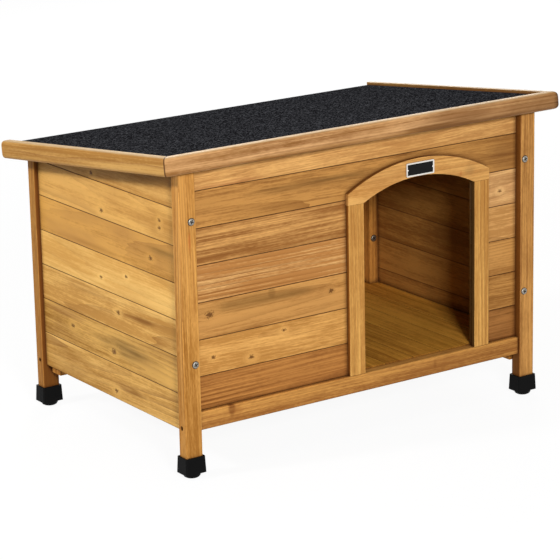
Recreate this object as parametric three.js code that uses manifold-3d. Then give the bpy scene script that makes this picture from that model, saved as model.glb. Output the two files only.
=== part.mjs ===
// A raised wooden dog house with a hinged lean-to roof, an arched door in its front wall and
// four levelling feet. Millimetres, +Z up, the front wall faces -Y, and the origin lies on the
// ground under the middle of the whole house.
import * as THREE from 'three';
import { mergeVertices } from 'three/addons/utils/BufferGeometryUtils.js';
import Module from 'manifold-3d';

const wasm = await Module();
wasm.setup();

// Fits
const fit = 0.3; // gap left between two pieces that meet
const turnFit = 0.35; // radial clearance of a pin in its bore
const curveSteps = 4; // straight steps in each rounded edge
const turnSteps = 24; // straight steps around a pin, knuckle or foot

// Posts
const bodyLength = 773; // left to right over the posts
const bodyDepth = 519.5; // front to back over the posts
const postWidth = 33.2; // left to right
const postDepth = 23.4; // front to back
const postEdge = 2.5; // rounding of the long edges
const boltHoleRadius = 4; // counterbored bolt hole in the outer side of each post
const boltHoleDepth = 12;
const boltHoleHeight = 91;
const boltHoleInset = 13; // from the post's front or rear face

// Feet
const padRadius = 16;
const padHeight = 8.6;
const treadRadius = 7; // the flat middle of the domed tread
const stemRadius = 4;
const stemLength = 34; // above the pad
const stemBoreExtra = 4; // the bore in the post runs this much past the stem
const capHeight = 29.5;
const capWall = 2.9; // around the post, at the rim
const capFlare = 1.2; // how much further the wall stands out at its foot
const capFloor = 3;
const capEdge = 3; // rounding of the upright edges

// Wall boards
const boardRows = 7; // from the bottom to the roof, in the side and front walls
const boardPitch = 65.6; // height of one board, joint to joint
const sideWallBottom = 82;
const sideTopBoard = 21.9; // height of the side walls' top board at its low, rear end
const sideBoardThickness = 9;
const sideBoardRecess = 8.3; // from the posts' outer side faces
const endBoardThickness = 8.4; // front and rear walls
const endBoardRecess = 14.7; // from the posts' front or rear faces
const endFirstBoard = 60.6; // height of the lowest board, on the rail
const jointEdge = 1.2; // rounding of each board's outer edges at a joint
const tongueLength = 4;
const tongueThickness = 3;
const grooveDepth = 4.6;
const topStripLeast = 15; // the rear wall's top board is at least this high

// Rails
const railBottom = 82;
const railHeight = 33;
const railDepth = 18.4;
const railRecess = 4.9; // from the posts' front or rear faces
const railEndGap = 0.8;
const railEdge = 3;
const hingeRailHeight = 34; // the rear rail under the roof, at its rear face
const hingeRailRebate = 6; // takes the top edge of the rear wall

// Door
const doorCentre = 125.5; // to the right of the middle of the house
const doorClearWidth = 249;
const rowsBesideDoor = 5; // front boards that the door cuts in two
const springingDrop = 8.5; // from the joint above those boards to the start of the arch
const archRise = 30.5;
const archBand = 33; // height of the arch piece at its crown
const archShoulder = 20.5; // upright part of the arch's outer ends
const jambWidth = 34;
const frameThickness = 8.4;
const frameReveal = 2; // the boards end this far behind the frame's inner edge
const frameEdge = 1.6;
const archSteps = 18;

// Name plate, left blank
const plateWidth = 62;
const plateHeight = 25;
const plateThickness = 1.6;
const plateCentreAboveCrown = 13.5; // above the crown of the door opening
const plateCorner = 2;

// Corner battens inside the side walls
const battenWidth = 20.7; // out from the wall
const battenDepth = 33; // along the wall
const shortBattenBottom = 82;
const longBattenBottom = 67;

// Floor
const floorTop = 118;
const floorThickness = 12;
const floorBoardPitch = 62; // laid from the right wall
const floorJoint = 1.2; // half the width of the V at each joint
const floorBattenGap = 1;
const cleatWidth = 20;
const cleatHeight = 20;

// Roof
const sideOverhang = 38.5; // from the posts to the outside of the side trims
const roofPitch = THREE.MathUtils.degToRad(7); // falls towards the rear
const deckThickness = 9;
const deckBoardPitch = 92;
const deckJoint = 1.5;
const feltThickness = 2.3;
const feltTurnDown = 8.5; // how far the felt is folded down over the rear edge
const rearOverhang = 26; // behind the posts
const trimHeight = 33;
const trimWidth = 18.5;
const trimDrop = 16; // how far the trims hang below the underside of the deck
const trimRound = 9.5; // rounding of the two outer edges
const trimSteps = 7;
const frontTrimGap = 1.6; // from the posts' front face to the front trim
const roofBattenWidth = 33;
const roofBattenHeight = 20;
const roofBattenInset = 40; // from the inner faces of the front and rear walls

// Hinges
const hingeSpread = 480; // between the middles of the two hinges
const hingeLength = 60;
const knuckleRadius = 3.2;
const hingePinRadius = 1.5;
const leafThickness = 1.4;
const wallLeafHeight = 24;
const roofLeafInset = 1.5; // from the rear edge of the deck
const middleKnuckle = 24; // length of the roof leaf's knuckle
const knuckleGap = 0.4;

// Roof stay: an arm on the left wall whose tip slides in a slotted plate under the roof. Arm
// and pivot distance are equal, so the arm turns exactly twice as far as the roof.
const stayArm = 200; // between its pivot and its tip pin, and from the hinge to the pivot
const stayDip = THREE.MathUtils.degToRad(2.5); // slope of the slot below the deck
const roofOpening = THREE.MathUtils.degToRad(60);
const stayBarWidth = 13;
const stayBarThickness = 3;
const stayPinRadius = 3.5;
const stayHeadRadius = 5.5;
const stayHeadThickness = 1.8;
const staySlotPlay = 0.6; // at each side of the tip pin
const stayPlateThickness = 2.5;
const stayPlateMargin = 7; // steel around the slot
const stayFlangeWidth = 18;
const stayBracketWidth = 32;
const stayBracketDrop = 30; // below the pivot
const stayBracketCorner = 5;

// Finishes
const honeyFir = { color: 0xbd8a46, roughness: 0.55, metalness: 0 };
const redFir = { color: 0xb07a3c, roughness: 0.55, metalness: 0 };
const paleFir = { color: 0xd6a55c, roughness: 0.5, metalness: 0 };
const darkFir = { color: 0x7c5227, roughness: 0.65, metalness: 0 };
const roofFelt = { color: 0x2b2c2e, roughness: 0.95, metalness: 0 };
const blackPlastic = { color: 0x1a1a1a, roughness: 0.6, metalness: 0 };
const blackEnamel = { color: 0x141414, roughness: 0.35, metalness: 0.2 };
const zincSteel = { color: 0xb9bcc0, roughness: 0.35, metalness: 1 };

// Places that several pieces share, in the frame of the walls: x from the middle, y back from
// the posts' front face, z up from the ground.
const halfLength = bodyLength / 2;
const roofLength = bodyLength + 2 * sideOverhang;
const sideRise = (bodyDepth - postDepth) * Math.tan(roofPitch);
// The underside of the deck at the posts' front face
const deckHeight = sideWallBottom + (boardRows - 1) * boardPitch + sideTopBoard + sideRise;
const postInner = halfLength - postWidth;
const wallInner = halfLength - sideBoardRecess - sideBoardThickness;
const capBottom = padHeight + fit;
const capRim = capBottom + capHeight;
const postBottom = capBottom + capFloor + fit;
const railTop = railBottom + railHeight;
const endBoardInner = endBoardRecess + endBoardThickness;
const battenFace = Math.max(postDepth, endBoardInner) + fit;
const doorLeft = doorCentre - doorClearWidth / 2;
const doorRight = doorCentre + doorClearWidth / 2;
const frontJoints = [];
for (let row = 1; row < boardRows; row += 1) {
  frontJoints.push(railTop + endFirstBoard + (row - 1) * boardPitch);
}
const doorSpringing = frontJoints[rowsBesideDoor - 1] - springingDrop;
const doorCrown = doorSpringing + archRise;
const frameFront = endBoardRecess - fit - frameThickness;
const uncutTop = deckHeight + trimHeight;
const frontTrimInner = -frontTrimGap / Math.cos(roofPitch);
const frontTrimOuter = frontTrimInner - trimWidth;
const trimTop = trimHeight - trimDrop;
const hingeDrop = fit + knuckleRadius;

// The roof is laid out flat, as if the deck's underside were level, and then turned: this gives
// the place in the walls' frame of a point so far along the deck and so far above its underside.
function fromRoof(along, above) {
  return new THREE.Vector3(
    0,
    along * Math.cos(roofPitch) + above * Math.sin(roofPitch),
    deckHeight - along * Math.sin(roofPitch) + above * Math.cos(roofPitch),
  );
}

// How far along the deck a point lies that is so far back and so far above the underside.
function alongRoof(back, above) {
  return (back - above * Math.sin(roofPitch)) / Math.cos(roofPitch);
}

const roofEnd = alongRoof(bodyDepth + rearOverhang, trimTop);
const hingeAlong = alongRoof(bodyDepth + fit + knuckleRadius, -hingeDrop);
const hingeAxis = fromRoof(hingeAlong, -hingeDrop);
const roofFront = fromRoof(frontTrimOuter, trimRound - trimDrop).y;
const houseMiddle = (roofFront + bodyDepth + rearOverhang) / 2;

// Solids

function solidOf(geometry) {
  const bare = geometry.clone();
  bare.deleteAttribute('normal');
  bare.deleteAttribute('uv');
  const merged = mergeVertices(bare, 1e-4);
  const corners = merged.index.array;
  const kept = [];
  for (let i = 0; i < corners.length; i += 3) {
    const [a, b, c] = [corners[i], corners[i + 1], corners[i + 2]];
    if (a !== b && b !== c && c !== a) kept.push(a, b, c);
  }
  return new wasm.Manifold(new wasm.Mesh({
    numProp: 3,
    vertProperties: new Float32Array(merged.attributes.position.array),
    triVerts: new Uint32Array(kept),
  }));
}

function geometryOf(solid) {
  const { vertProperties, triVerts } = solid.getMesh();
  const geometry = new THREE.BufferGeometry();
  const places = new THREE.BufferAttribute(new Float32Array(vertProperties), 3);
  geometry.setAttribute('position', places);
  geometry.setIndex(new THREE.BufferAttribute(new Uint32Array(triVerts), 1));
  geometry.computeVertexNormals();
  return geometry;
}

function join(...geometries) {
  const solids = geometries.map(solidOf);
  return geometryOf(solids.reduce((whole, piece) => whole.add(piece)));
}

function cut(geometry, ...tools) {
  const solids = tools.map(solidOf);
  return geometryOf(solids.reduce((left, tool) => left.subtract(tool), solidOf(geometry)));
}

function block(from, to) {
  const size = to.map((end, i) => end - from[i]);
  const middle = to.map((end, i) => (end + from[i]) / 2);
  return new THREE.BoxGeometry(...size).translate(...middle);
}

// A closed outline through corners [across, up, radius]; a corner with a radius is rounded.
function outline(corners) {
  const shape = new THREE.Shape();
  const count = corners.length;
  corners.forEach(([across, up, radius = 0], i) => {
    const corner = new THREE.Vector2(across, up);
    const before = new THREE.Vector2(...corners[(i + count - 1) % count]);
    const after = new THREE.Vector2(...corners[(i + 1) % count]);
    const start = before.sub(corner).setLength(radius).add(corner);
    const end = after.sub(corner).setLength(radius).add(corner);
    if (i === 0) shape.moveTo(start.x, start.y);
    else shape.lineTo(start.x, start.y);
    if (radius > 0) shape.quadraticCurveTo(corner.x, corner.y, end.x, end.y);
  });
  shape.closePath();
  return shape;
}

function rectangle(left, bottom, right, top, radius = 0) {
  return outline([
    [left, bottom, radius],
    [right, bottom, radius],
    [right, top, radius],
    [left, top, radius],
  ]);
}

function extrude(shape, length, curveSegments) {
  return new THREE.ExtrudeGeometry(shape, { depth: length, bevelEnabled: false, curveSegments });
}

// An outline in (y, z) drawn out along X.
function alongX(shape, from, to, steps = curveSteps) {
  const turn = new THREE.Matrix4().makeBasis(
    new THREE.Vector3(0, 1, 0),
    new THREE.Vector3(0, 0, 1),
    new THREE.Vector3(1, 0, 0),
  );
  return extrude(shape, to - from, steps).applyMatrix4(turn).translate(from, 0, 0);
}

// An outline in (x, z) drawn out along Y.
function alongY(shape, from, to, steps = curveSteps) {
  return extrude(shape, to - from, steps).rotateX(Math.PI / 2).translate(0, to, 0);
}

// An outline in (x, y) drawn out along Z.
function alongZ(shape, from, to, steps = curveSteps) {
  return extrude(shape, to - from, steps).translate(0, 0, from);
}

function rodAlongX(radius, from, to, y, z) {
  const rod = new THREE.CylinderGeometry(radius, radius, to - from, turnSteps);
  return rod.rotateZ(Math.PI / 2).translate((from + to) / 2, y, z);
}

function rodAlongZ(radius, from, to, x, y) {
  const rod = new THREE.CylinderGeometry(radius, radius, to - from, turnSteps);
  return rod.rotateX(Math.PI / 2).translate(x, y, (from + to) / 2);
}

// Trims whatever would reach the underside of the roof.
const roofSpace = block([-roofLength, -bodyDepth, -fit], [roofLength, 2 * bodyDepth, uncutTop]);
roofSpace.rotateX(-roofPitch).translate(0, 0, deckHeight);

function underRoof(geometry) {
  return cut(geometry, roofSpace);
}

// Scene graph

const dogHouse = new THREE.Group();
dogHouse.name = 'dog_house';
const walls = new THREE.Group();
walls.position.y = -houseMiddle;
const roof = new THREE.Group();
roof.position.z = deckHeight;
roof.rotation.x = -roofPitch;
walls.add(roof);
dogHouse.add(walls);

function add(group, name, geometry, finish) {
  const mesh = new THREE.Mesh(geometry, new THREE.MeshStandardMaterial(finish));
  mesh.name = name;
  group.add(mesh);
}

const corners = [
  { name: 'front_left', side: -1, rear: false },
  { name: 'front_right', side: 1, rear: false },
  { name: 'rear_left', side: -1, rear: true },
  { name: 'rear_right', side: 1, rear: true },
];

// A distance from the front face of the posts, or the same distance from their rear face.
function fromEnd(rear, distance) {
  return rear ? bodyDepth - distance : distance;
}

// Posts and feet: each post stands in a flared cap, and a pad on a stem screws up into it.

function post({ side, rear }) {
  const x = side * (halfLength - postWidth / 2);
  const y = fromEnd(rear, postDepth / 2);
  const section = rectangle(
    x - postWidth / 2, y - postDepth / 2, x + postWidth / 2, y + postDepth / 2, postEdge,
  );
  const stemBore = rodAlongZ(
    stemRadius + turnFit, postBottom - fit, padHeight + stemLength + stemBoreExtra, x, y,
  );
  const outerFace = side * halfLength;
  const holeEnds = [outerFace - side * boltHoleDepth, outerFace + side * fit];
  const boltHole = rodAlongX(
    boltHoleRadius, Math.min(...holeEnds), Math.max(...holeEnds),
    fromEnd(rear, boltHoleInset), boltHoleHeight,
  );
  return underRoof(cut(alongZ(section, postBottom, uncutTop), stemBore, boltHole));
}

function footCap({ side, rear }) {
  const halfWidth = postWidth / 2 + fit + capWall;
  const halfDepth = postDepth / 2 + fit + capWall;
  const section = rectangle(-halfWidth, -halfDepth, halfWidth, halfDepth, capEdge);
  const shell = alongZ(section, capBottom, capRim);
  const places = shell.attributes.position;
  for (let i = 0; i < places.count; i += 1) {
    const lowered = (capRim - places.getZ(i)) / capHeight;
    places.setX(i, places.getX(i) + Math.sign(places.getX(i)) * capFlare * lowered);
    places.setY(i, places.getY(i) + Math.sign(places.getY(i)) * capFlare * lowered);
  }
  const socket = block(
    [-halfWidth + capWall, -halfDepth + capWall, capBottom + capFloor],
    [halfWidth - capWall, halfDepth - capWall, capRim + fit],
  );
  const bore = rodAlongZ(stemRadius + turnFit, capBottom - fit, capRim, 0, 0);
  const x = side * (halfLength - postWidth / 2);
  return cut(shell, socket, bore).translate(x, fromEnd(rear, postDepth / 2), 0);
}

function footPad({ side, rear }) {
  const profile = new THREE.Path();
  profile.moveTo(0, 0);
  profile.lineTo(treadRadius, 0);
  profile.quadraticCurveTo(padRadius, 0, padRadius, padHeight);
  profile.lineTo(stemRadius, padHeight);
  profile.lineTo(stemRadius, padHeight + stemLength);
  profile.lineTo(0, padHeight + stemLength);
  const pad = new THREE.LatheGeometry(profile.getPoints(curveSteps), turnSteps);
  const x = side * (halfLength - postWidth / 2);
  return pad.rotateX(Math.PI / 2).translate(x, fromEnd(rear, postDepth / 2), 0);
}

for (const corner of corners) {
  add(walls, `post_${corner.name}`, post(corner), honeyFir);
  add(walls, `foot_cap_${corner.name}`, footCap(corner), blackPlastic);
  add(walls, `foot_pad_${corner.name}`, footPad(corner), blackPlastic);
}

// Tongue-and-groove boards. The outline runs from the outer face to the inner face, whichever
// way that is, and the board's top shoulder stops a small gap short of the next board.

function boardOutline(outer, inner, bottom, top, { groove, tongue }) {
  const middle = (outer + inner) / 2;
  const inward = Math.sign(inner - outer);
  const cheek = inward * tongueThickness / 2;
  const slotCheek = inward * (tongueThickness / 2 + fit);
  const lower = groove
    ? [
      [middle - slotCheek, bottom],
      [middle - slotCheek, bottom + grooveDepth],
      [middle + slotCheek, bottom + grooveDepth],
      [middle + slotCheek, bottom],
    ]
    : [];
  const shoulder = top - fit;
  const upper = tongue
    ? [
      [middle + cheek, shoulder],
      [middle + cheek, shoulder + tongueLength],
      [middle - cheek, shoulder + tongueLength],
      [middle - cheek, shoulder],
    ]
    : [];
  return outline([
    [outer, bottom, jointEdge], ...lower, [inner, bottom],
    [inner, shoulder], ...upper, [outer, shoulder, jointEdge],
  ]);
}

// A wall whose boards are glued up as one panel, with a V at each joint on its outer face.
function panelOutline(outer, inner, bottom, top, joints) {
  const inward = Math.sign(inner - outer);
  const grooves = joints.flatMap((z) => [
    [outer, z - jointEdge],
    [outer + inward * jointEdge, z],
    [outer, z + jointEdge],
  ]);
  return outline([[outer, bottom], ...grooves, [outer, top], [inner, top], [inner, bottom]]);
}

const sideJoints = frontJoints.map((joint, i) => sideWallBottom + (i + 1) * boardPitch);
const sideStart = postDepth + fit;
const sideEnd = bodyDepth - postDepth - fit;

function leftBoards() {
  const edges = [sideWallBottom, ...sideJoints];
  edges.forEach((bottom, row) => {
    const isTop = row === edges.length - 1;
    const top = isTop ? uncutTop : edges[row + 1];
    const joints = { groove: row > 0, tongue: !isTop };
    const outer = -halfLength + sideBoardRecess;
    const shape = boardOutline(outer, -wallInner, bottom, top, joints);
    const board = alongY(shape, sideStart, sideEnd);
    add(walls, `left_board_${row + 1}`, isTop ? underRoof(board) : board, honeyFir);
  });
}

function rightWall() {
  const outer = halfLength - sideBoardRecess;
  const shape = panelOutline(outer, wallInner, sideWallBottom, uncutTop, sideJoints);
  return underRoof(alongY(shape, sideStart, sideEnd));
}

leftBoards();
add(walls, 'right_wall', rightWall(), honeyFir);

// Rails between the posts, the front boards around the door, and the rear wall.

function rail(rear) {
  const outer = fromEnd(rear, railRecess);
  const inner = fromEnd(rear, railRecess + railDepth);
  const shape = outline([
    [outer, railBottom, railEdge],
    [inner, railBottom],
    [inner, railTop],
    [outer, railTop, railEdge],
  ]);
  const reach = postInner - railEndGap;
  return alongX(shape, -reach, reach);
}

add(walls, 'front_rail', rail(false), redFir);
add(walls, 'rear_rail', rail(true), redFir);

const endReach = postInner - fit;
const openingLeft = doorLeft - frameReveal;
const openingRight = doorRight + frameReveal;
const openingTop = doorCrown + frameReveal;

function frontBoards() {
  const edges = [railTop + fit, ...frontJoints];
  const opening = block(
    [openingLeft, endBoardRecess - fit, railBottom],
    [openingRight, endBoardInner + fit, openingTop],
  );
  edges.forEach((bottom, row) => {
    const isTop = row === edges.length - 1;
    const top = isTop ? uncutTop : edges[row + 1];
    const joints = { groove: row > 0, tongue: !isTop };
    const shape = boardOutline(endBoardRecess, endBoardInner, bottom, top, joints);
    if (row < rowsBesideDoor) {
      add(walls, `front_board_${row + 1}_left`, alongX(shape, -endReach, openingLeft), redFir);
      add(walls, `front_board_${row + 1}_right`, alongX(shape, openingRight, endReach), redFir);
      return;
    }
    const whole = alongX(shape, -endReach, endReach);
    const board = row === rowsBesideDoor ? cut(whole, opening) : whole;
    add(walls, `front_board_${row + 1}`, isTop ? underRoof(board) : board, redFir);
  });
}

frontBoards();

const hingeRailBottom = fromRoof(alongRoof(bodyDepth, 0), 0).z - hingeRailHeight;
const rearBoardFace = bodyDepth - endBoardRecess;
const rearInner = bodyDepth - endBoardInner;

function rearWall() {
  const top = hingeRailBottom + hingeRailRebate - fit;
  const joints = frontJoints.filter((joint) => joint < hingeRailBottom - topStripLeast);
  const shape = panelOutline(rearBoardFace, rearInner, railTop + fit, top, joints);
  return alongX(shape, -endReach, endReach);
}

function hingeRail() {
  const rebateTop = hingeRailBottom + hingeRailRebate;
  const inner = Math.min(rearInner, bodyDepth - postDepth);
  const shape = outline([
    [bodyDepth, hingeRailBottom, railEdge],
    [bodyDepth, uncutTop],
    [inner, uncutTop],
    [inner, rebateTop],
    [rearBoardFace + fit, rebateTop],
    [rearBoardFace + fit, hingeRailBottom],
  ]);
  return underRoof(alongX(shape, -endReach, endReach));
}

add(walls, 'rear_wall', rearWall(), redFir);
add(walls, 'rear_top_rail', hingeRail(), redFir);

// Door frame: two jambs stand on the front rail, and an arch joins them.

function jamb(inner, outer) {
  const shape = rectangle(
    Math.min(inner, outer), frameFront, Math.max(inner, outer), frameFront + frameThickness,
    frameEdge,
  );
  return alongZ(shape, railTop + fit, doorSpringing - fit);
}

// The circle through both ends of a chord and the crown above its middle.
function arcOver(halfChord, rise) {
  const radius = (halfChord ** 2 + rise ** 2) / (2 * rise);
  return { radius, halfAngle: Math.asin(halfChord / radius) };
}

function doorArch() {
  const outerHalf = doorClearWidth / 2 + jambWidth;
  const outerRise = archRise + archBand - archShoulder;
  const inner = arcOver(doorClearWidth / 2, archRise);
  const outer = arcOver(outerHalf, outerRise);
  const outerCrown = doorCrown + archBand;
  const up = Math.PI / 2;
  const shape = new THREE.Shape();
  shape.moveTo(doorCentre + outerHalf, doorSpringing);
  shape.lineTo(doorCentre + outerHalf, doorSpringing + archShoulder);
  shape.absarc(
    doorCentre, outerCrown - outer.radius, outer.radius,
    up - outer.halfAngle, up + outer.halfAngle, false,
  );
  shape.lineTo(doorCentre - outerHalf, doorSpringing);
  shape.lineTo(doorLeft, doorSpringing);
  shape.absarc(
    doorCentre, doorCrown - inner.radius, inner.radius,
    up + inner.halfAngle, up - inner.halfAngle, true,
  );
  shape.closePath();
  return alongY(shape, frameFront, frameFront + frameThickness, archSteps);
}

function namePlate() {
  const z = doorCrown + plateCentreAboveCrown;
  const shape = rectangle(
    doorCentre - plateWidth / 2, z - plateHeight / 2,
    doorCentre + plateWidth / 2, z + plateHeight / 2, plateCorner,
  );
  return alongY(shape, frameFront - fit - plateThickness, frameFront - fit);
}

add(walls, 'door_jamb_left', jamb(doorLeft, doorLeft - jambWidth), honeyFir);
add(walls, 'door_jamb_right', jamb(doorRight, doorRight + jambWidth), honeyFir);
add(walls, 'door_arch', doorArch(), honeyFir);
add(walls, 'name_plate', namePlate(), blackEnamel);

// Battens in the inner corners hold the side boards, and cleats on the rails carry the floor.

const battenInner = wallInner - fit - battenWidth;

function battenBlock({ side, rear }, bottom, top, margin = 0) {
  const xs = [side * (wallInner - fit + margin), side * (battenInner - margin)];
  const ys = [
    fromEnd(rear, battenFace - margin),
    fromEnd(rear, battenFace + battenDepth + margin),
  ];
  return block(
    [Math.min(...xs), Math.min(...ys), bottom],
    [Math.max(...xs), Math.max(...ys), top],
  );
}

for (const corner of corners) {
  const isLong = (corner.side < 0) === corner.rear;
  const bottom = isLong ? longBattenBottom : shortBattenBottom;
  const batten = underRoof(battenBlock(corner, bottom, uncutTop));
  add(walls, `batten_${corner.name}`, batten, darkFir);
}

const floorBottom = floorTop - floorThickness;

function floorPanel() {
  const reach = wallInner - fit;
  const joints = [];
  for (let x = reach - floorBoardPitch; x > -reach + floorJoint; x -= floorBoardPitch) {
    joints.push([x + floorJoint, floorTop], [x, floorTop - floorJoint], [x - floorJoint, floorTop]);
  }
  const shape = outline([
    [-reach, floorBottom], [reach, floorBottom], [reach, floorTop], ...joints, [-reach, floorTop],
  ]);
  const panel = alongY(shape, battenFace, bodyDepth - battenFace);
  const notches = corners.map((corner) => battenBlock(
    corner, floorBottom - fit, floorTop + fit, floorBattenGap,
  ));
  return cut(panel, ...notches);
}

function cleat(rear) {
  const ys = [fromEnd(rear, battenFace), fromEnd(rear, battenFace + cleatWidth)];
  const reach = battenInner - fit;
  return block(
    [-reach, Math.min(...ys), floorBottom - fit - cleatHeight],
    [reach, Math.max(...ys), floorBottom - fit],
  );
}

add(walls, 'floor', floorPanel(), darkFir);
add(walls, 'floor_cleat_front', cleat(false), darkFir);
add(walls, 'floor_cleat_rear', cleat(true), darkFir);

// Roof: a boarded deck under felt, with trims on its front and sides that meet in mitres.

const deckReach = roofLength / 2 - trimWidth - fit;
const deckStart = frontTrimInner + fit;
const deckEnd = roofEnd - feltThickness - fit;

function roofDeck() {
  const joints = [];
  for (let y = deckStart + deckBoardPitch; y < deckEnd - deckJoint; y += deckBoardPitch) {
    joints.push([y - deckJoint, 0], [y, deckJoint], [y + deckJoint, 0]);
  }
  const shape = outline([
    [deckStart, 0], ...joints, [deckEnd, 0], [deckEnd, deckThickness], [deckStart, deckThickness],
  ]);
  return alongX(shape, -deckReach, deckReach);
}

function roofCover() {
  const under = deckThickness + fit;
  const top = under + feltThickness;
  const shape = outline([
    [deckStart, under],
    [deckEnd + fit, under],
    [deckEnd + fit, under - feltTurnDown],
    [roofEnd, under - feltTurnDown],
    [roofEnd, top, feltThickness],
    [deckStart, top],
  ]);
  return alongX(shape, -deckReach, deckReach);
}

function frontTrim() {
  const half = roofLength / 2;
  const trim = alongX(outline([
    [frontTrimOuter, -trimDrop, trimRound],
    [frontTrimInner, -trimDrop],
    [frontTrimInner, trimTop],
    [frontTrimOuter, trimTop, trimRound],
  ]), -half, half, trimSteps);
  const places = trim.attributes.position;
  for (let i = 0; i < places.count; i += 1) {
    const mitre = places.getY(i) - frontTrimOuter + fit / 2;
    places.setX(i, places.getX(i) - Math.sign(places.getX(i)) * mitre);
  }
  return trim;
}

function sideTrim(side) {
  const outer = side * roofLength / 2;
  const inner = outer - side * trimWidth;
  const trim = alongY(outline([
    [outer, -trimDrop, trimRound],
    [inner, -trimDrop],
    [inner, trimTop],
    [outer, trimTop, trimRound],
  ]), frontTrimOuter, roofEnd, trimSteps);
  const places = trim.attributes.position;
  for (let i = 0; i < places.count; i += 1) {
    const isFront = places.getY(i) < roofEnd / 2;
    const mitre = Math.abs(outer - places.getX(i)) + fit / 2;
    if (isFront) places.setY(i, places.getY(i) + mitre);
  }
  return trim;
}

function roofBatten() {
  const start = alongRoof(endBoardInner + roofBattenInset, 0);
  const end = alongRoof(rearInner - roofBattenInset, 0);
  return block(
    [-roofBattenWidth / 2, start, -fit - roofBattenHeight],
    [roofBattenWidth / 2, end, -fit],
  );
}

add(roof, 'roof_deck', roofDeck(), darkFir);
add(roof, 'roof_felt', roofCover(), roofFelt);
add(roof, 'roof_trim_front', frontTrim(), paleFir);
add(roof, 'roof_trim_left', sideTrim(-1), paleFir);
add(roof, 'roof_trim_right', sideTrim(1), paleFir);
add(roof, 'roof_batten', roofBatten(), darkFir);

// Hinges under the rear overhang: the wall leaf has the two outer knuckles and the pin, and the
// roof leaf has the middle knuckle.

function wallLeaf(x) {
  const { y, z } = hingeAxis;
  const half = hingeLength / 2;
  const face = bodyDepth + fit;
  const plate = block(
    [x - half, face, z - wallLeafHeight],
    [x + half, face + leafThickness, z],
  );
  const knuckles = rodAlongX(knuckleRadius, x - half, x + half, y, z);
  const gap = middleKnuckle / 2 + knuckleGap;
  const room = block(
    [x - gap, y - 2 * knuckleRadius, z - knuckleRadius - knuckleGap],
    [x + gap, y + 2 * knuckleRadius, z + 2 * knuckleRadius],
  );
  const pin = rodAlongX(hingePinRadius, x - half, x + half, y, z);
  return join(cut(join(plate, knuckles), room), pin);
}

function roofLeaf(x) {
  const half = hingeLength / 2;
  const under = -fit;
  const reach = deckEnd - roofLeafInset;
  const plate = block(
    [x - half, hingeAlong + knuckleRadius + knuckleGap, under - leafThickness],
    [x + half, reach, under],
  );
  const tongue = block(
    [x - middleKnuckle / 2, hingeAlong, under - leafThickness],
    [x + middleKnuckle / 2, reach, under],
  );
  const ends = [x - middleKnuckle / 2, x + middleKnuckle / 2];
  const knuckle = rodAlongX(knuckleRadius, ...ends, hingeAlong, -hingeDrop);
  const bore = rodAlongX(
    hingePinRadius + turnFit, ends[0] - fit, ends[1] + fit, hingeAlong, -hingeDrop,
  );
  return cut(join(plate, tongue, knuckle), bore);
}

for (const [name, side] of [['left', -1], ['right', 1]]) {
  const x = side * hingeSpread / 2;
  add(walls, `hinge_${name}_wall_leaf`, wallLeaf(x), zincSteel);
  add(roof, `hinge_${name}_roof_leaf`, roofLeaf(x), zincSteel);
}

// Roof stay, laid out on a line that runs forward from the hinge axis.

const bracketFace = -wallInner + fit;
const barFace = bracketFace + stayPlateThickness + turnFit;
const pivotHead = barFace + stayBarThickness + turnFit;
const trackFace = pivotHead + stayHeadThickness + 2 * turnFit;
const tipHead = trackFace + stayPlateThickness + 2 * turnFit;
const stayPivot = new THREE.Vector3(0, -stayArm, 0)
  .applyAxisAngle(new THREE.Vector3(1, 0, 0), stayDip - roofPitch)
  .add(hingeAxis);

// A flat bar with round ends between two points on the line, given by their distances.
function barAlongLine(near, far, halfWidth, from, to) {
  return join(
    block([from, -far, -halfWidth], [to, -near, halfWidth]),
    rodAlongX(halfWidth, from, to, -near, 0),
    rodAlongX(halfWidth, from, to, -far, 0),
  );
}

function stayBracket() {
  const { y, z } = stayPivot;
  const plate = alongX(rectangle(
    y - stayBracketWidth / 2, z - stayBracketDrop,
    y + stayBracketWidth / 2, z + stayHeadRadius + fit, stayBracketCorner,
  ), bracketFace, bracketFace + stayPlateThickness);
  const headEnd = pivotHead + stayHeadThickness;
  return join(
    plate,
    rodAlongX(stayPinRadius, bracketFace, headEnd, y, z),
    rodAlongX(stayHeadRadius, pivotHead, headEnd, y, z),
  );
}

function stayBar() {
  const halfWidth = stayBarWidth / 2;
  const back = barFace + stayBarThickness;
  const bar = barAlongLine(stayArm, 2 * stayArm, halfWidth, barFace, back);
  const bore = rodAlongX(stayPinRadius + turnFit, barFace - fit, back + fit, -stayArm, 0);
  const headEnd = tipHead + stayHeadThickness;
  const arm = join(
    cut(bar, bore),
    rodAlongX(stayPinRadius, barFace, headEnd, -2 * stayArm, 0),
    rodAlongX(stayHeadRadius, tipHead, headEnd, -2 * stayArm, 0),
  );
  return arm.rotateX(stayDip - roofPitch).translate(0, hingeAxis.y, hingeAxis.z);
}

function stayTrack() {
  const near = 2 * stayArm * Math.cos(roofOpening) - turnFit;
  const far = 2 * stayArm + turnFit;
  const slotHalf = stayPinRadius + staySlotPlay;
  const edge = slotHalf + stayPlateMargin;
  const back = trackFace + stayPlateThickness;
  const slot = barAlongLine(near, far, slotHalf, trackFace - fit, back + fit);
  const ends = [hingeAlong - far - edge, hingeAlong - near + edge];
  const lowestAt = (along) => -hingeDrop - (hingeAlong - along) * Math.tan(stayDip) - edge;
  const plate = alongX(outline([
    [ends[0], lowestAt(ends[0]), stayPlateMargin],
    [ends[1], lowestAt(ends[1]), stayPlateMargin],
    [ends[1], -fit],
    [ends[0], -fit],
  ]), trackFace, back);
  const flange = block(
    [trackFace, ends[0], -fit - stayPlateThickness],
    [trackFace + stayFlangeWidth, ends[1], -fit],
  );
  slot.rotateX(stayDip).translate(0, hingeAlong, -hingeDrop);
  return cut(join(plate, flange), slot);
}

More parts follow.
